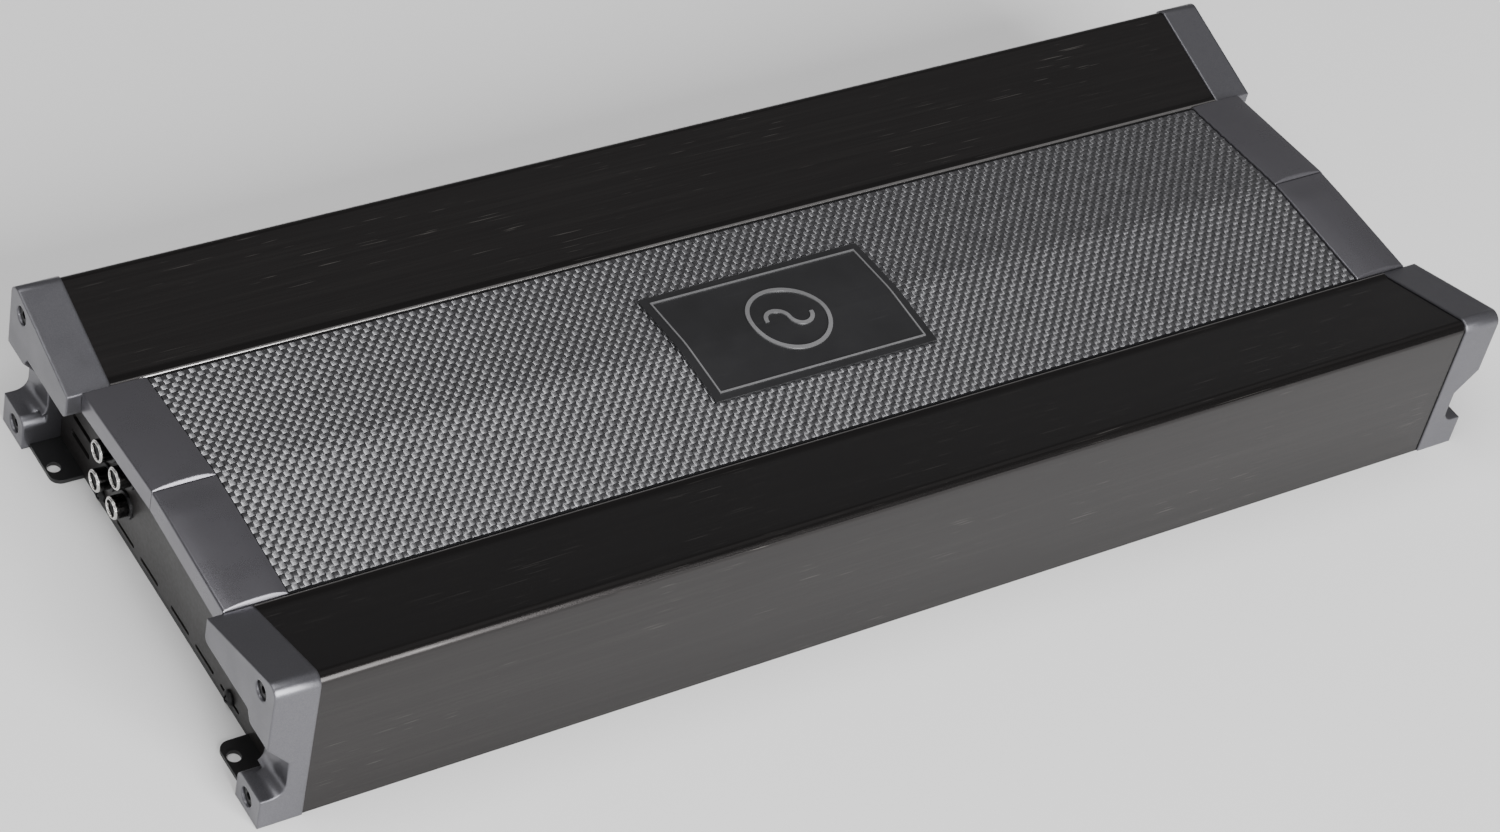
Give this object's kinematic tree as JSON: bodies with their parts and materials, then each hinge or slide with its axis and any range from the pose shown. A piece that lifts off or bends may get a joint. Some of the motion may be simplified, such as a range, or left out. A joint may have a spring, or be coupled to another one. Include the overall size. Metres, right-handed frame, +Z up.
{
  "type": "car amplifier",
  "caption": "Car audio power amplifier: black extruded side rails, cast corner caps, steel mounting ears, woven centre inlay with badge, signal sockets at one end, cable terminals at the other.",
  "frame": {"origin": "centre of the underside, on the surface that the amplifier is fastened to", "axes": "+X along the length towards the cable-terminal end (signal sockets at -X), +Y across the width towards the rear rail, +Z up out of the top cover"},
  "size_m": [0.508, 0.202, 0.0645],
  "materials": {
    "base_steel": "satin black powder coat",
    "rail_anodised": "black anodised, finely brushed along its length",
    "heatsink_anodised": "matte black anodised",
    "cast_caps": "satin metallic grey",
    "panel_steel": "semi-gloss near black",
    "trim_metal": "smooth gunmetal, semi-gloss",
    "woven_metal": "plain-woven silver ribbons under clear resin",
    "badge_black": "smooth gloss black",
    "badge_silver": "satin silver",
    "insulator": "translucent amber film",
    "circuit_board": "green solder mask",
    "standoff_brass": "machined",
    "bright_steel": "nickel plated",
    "capacitor_sleeve": "shrunk dark blue sleeve",
    "ferrite": "sintered, painted",
    "copper_winding": "enamelled copper wire",
    "component_black": "moulded epoxy",
    "thermal_pad": "soft silicone pad",
    "clamp_aluminium": "mill finish",
    "socket_black": "moulded black",
    "socket_nickel": "bright nickel plate",
    "control_blue": "moulded blue",
    "control_white": "moulded off-white",
    "switch_steel": "tin plated",
    "lamp_lens": "tinted lens",
    "terminal_black": "moulded black",
    "lug_brass": "plated brass",
    "screw_black": "black zinc"
  },
  "bodies": {
    "case": {"base_plate": "base_steel", "rail_front": "rail_anodised", "rail_rear": "rail_anodised", "bridge_heatsink": "heatsink_anodised", "cap_front_left": "cast_caps", "cap_front_right": "cast_caps", "cap_rear_left": "cast_caps", "cap_rear_right": "cast_caps", "end_panel_left": "panel_steel", "end_panel_right": "panel_steel", "trim_left_front": "trim_metal", "trim_left_rear": "trim_metal", "trim_right_front": "trim_metal", "trim_right_rear": "trim_metal", "woven_inlay": "woven_metal", "badge_plate": "badge_black", "badge_emblem": "badge_silver", "insulating_sheet": "insulator", "main_board": "circuit_board", "board_standoffs": "standoff_brass", "inner_screws": "bright_steel", "filter_capacitors": "capacitor_sleeve", "transformer_cores": "ferrite", "transformer_windings": "copper_winding", "output_choke_core": "ferrite", "output_choke_winding": "copper_winding", "transistors": "component_black", "thermal_pads": "thermal_pad", "transistor_clamps": "clamp_aluminium", "signal_board": "circuit_board", "board_header": "component_black", "rca_housings": "socket_black", "rca_shells": "socket_nickel", "rca_inserts": "socket_black", "control_bodies": "control_blue", "switch_bodies": "switch_steel", "remote_level_socket": "socket_black", "status_lamps": "lamp_lens", "power_block": "terminal_black", "power_lugs": "lug_brass", "speaker_block": "terminal_black", "speaker_lugs": "lug_brass", "cap_screws": "screw_black", "panel_screws": "screw_black", "base_screws": "screw_black"},
    "level_control": {"level_control": "control_white"},
    "low_pass_control": {"low_pass_control": "control_white"},
    "subsonic_control": {"subsonic_control": "control_white"},
    "bass_control": {"bass_control": "control_white"},
    "phase_switch": {"phase_switch": "control_white"},
    "mode_switch": {"mode_switch": "control_white"},
    "battery_pad": {"battery_pad": "lug_brass"},
    "battery_screw": {"battery_screw": "bright_steel"},
    "ground_pad": {"ground_pad": "lug_brass"},
    "ground_screw": {"ground_screw": "bright_steel"},
    "speaker_plus_pad": {"speaker_plus_pad": "lug_brass"},
    "speaker_plus_screw": {"speaker_plus_screw": "bright_steel"},
    "speaker_minus_pad": {"speaker_minus_pad": "lug_brass"},
    "speaker_minus_screw": {"speaker_minus_screw": "bright_steel"},
    "remote_screw": {"remote_screw": "bright_steel"}
  },
  "joints": [
    {"name": "level_control_turn", "type": "hinge", "parent": "case", "child": "level_control", "pos_m": [-0.2396, 0.016, 0.036], "axis": [-1, 0, 0], "range_deg": [-150, 150]},
    {"name": "low_pass_control_turn", "type": "hinge", "parent": "case", "child": "low_pass_control", "pos_m": [-0.2396, 0.001, 0.036], "axis": [-1, 0, 0], "range_deg": [-150, 150]},
    {"name": "subsonic_control_turn", "type": "hinge", "parent": "case", "child": "subsonic_control", "pos_m": [-0.2396, -0.014, 0.036], "axis": [-1, 0, 0], "range_deg": [-150, 150]},
    {"name": "bass_control_turn", "type": "hinge", "parent": "case", "child": "bass_control", "pos_m": [-0.2396, -0.029, 0.036], "axis": [-1, 0, 0], "range_deg": [-150, 150]},
    {"name": "phase_switch_slide", "type": "slide", "parent": "case", "child": "phase_switch", "axis": [0, 1, 0], "range_m": [0, 0.002]},
    {"name": "mode_switch_slide", "type": "slide", "parent": "case", "child": "mode_switch", "axis": [0, 1, 0], "range_m": [0, 0.002]},
    {"name": "battery_pad_travel", "type": "slide", "parent": "case", "child": "battery_pad", "axis": [0, 0, -1], "range_m": [0, 0.006]},
    {"name": "battery_screw_turn", "type": "hinge", "parent": "battery_pad", "child": "battery_screw", "pos_m": [0.241, -0.037, 0.025], "axis": [0, 0, -1], "range_deg": [0, 2160]},
    {"name": "ground_pad_travel", "type": "slide", "parent": "case", "child": "ground_pad", "axis": [0, 0, -1], "range_m": [0, 0.006]},
    {"name": "ground_screw_turn", "type": "hinge", "parent": "ground_pad", "child": "ground_screw", "pos_m": [0.241, -0.013, 0.025], "axis": [0, 0, -1], "range_deg": [0, 2160]},
    {"name": "speaker_plus_pad_travel", "type": "slide", "parent": "case", "child": "speaker_plus_pad", "axis": [0, 0, -1], "range_m": [0, 0.0035]},
    {"name": "speaker_plus_screw_turn", "type": "hinge", "parent": "speaker_plus_pad", "child": "speaker_plus_screw", "pos_m": [0.241, 0.027, 0.025], "axis": [0, 0, -1], "range_deg": [0, 1800]},
    {"name": "speaker_minus_pad_travel", "type": "slide", "parent": "case", "child": "speaker_minus_pad", "axis": [0, 0, -1], "range_m": [0, 0.0035]},
    {"name": "speaker_minus_screw_turn", "type": "hinge", "parent": "speaker_minus_pad", "child": "speaker_minus_screw", "pos_m": [0.241, 0.039, 0.025], "axis": [0, 0, -1], "range_deg": [0, 1800]},
    {"name": "remote_screw_travel", "type": "slide", "parent": "case", "child": "remote_screw", "axis": [0, 0, -1], "range_m": [0, 0.0025]}
  ]
}
